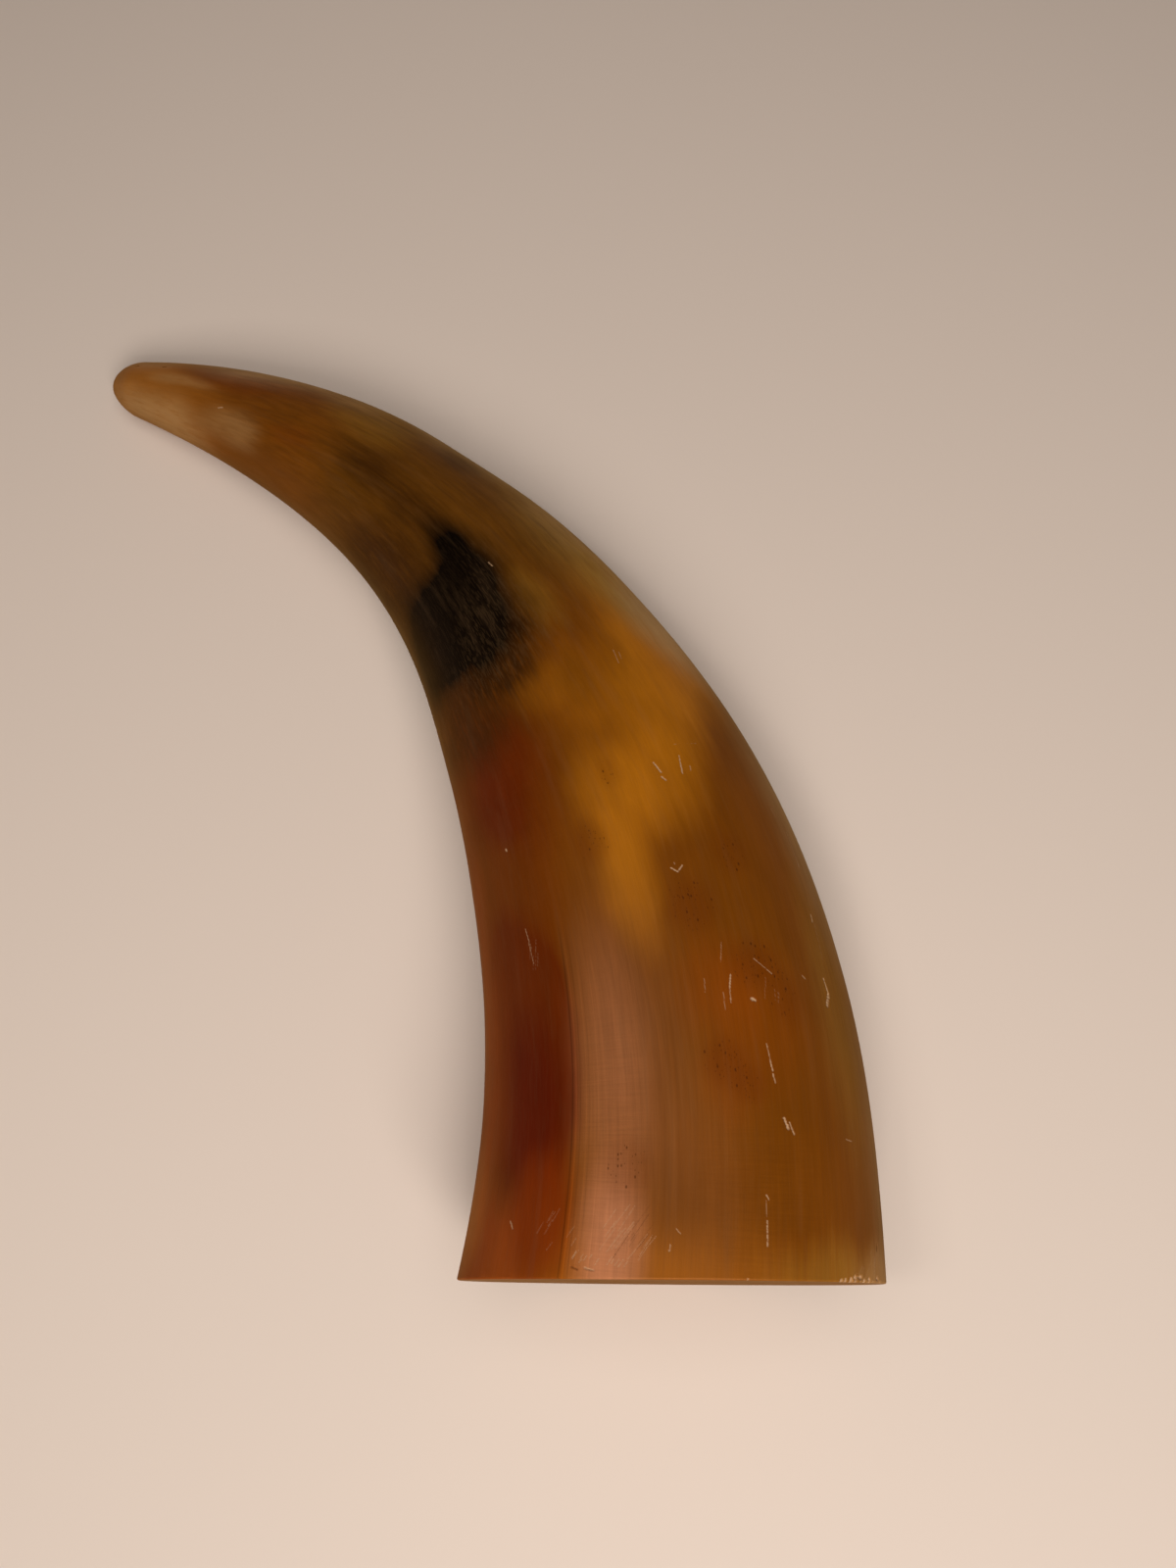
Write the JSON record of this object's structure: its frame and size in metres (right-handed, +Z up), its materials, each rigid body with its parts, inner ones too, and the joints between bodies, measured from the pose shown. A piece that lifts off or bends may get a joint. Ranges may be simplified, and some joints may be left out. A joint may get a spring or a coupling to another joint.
{
  "type": "buffalo horn",
  "caption": "Solid tip of a water buffalo horn, sawn off square at the root and polished, for carving, turning, knife scales or display.",
  "frame": {"origin": "under the middle of the horn's box, on the surface it lies on", "axes": "+Y from the saw cut towards the tip, +X towards the outside of the bend at the cut, +Z up from the surface the horn lies on"},
  "size_m": [0.1302, 0.1616, 0.0439],
  "materials": {
    "polished_horn": "hand-polished keratin, semi-gloss, with fine scratches"
  },
  "bodies": {
    "root": {"horn": "polished_horn"}
  },
  "joints": []
}
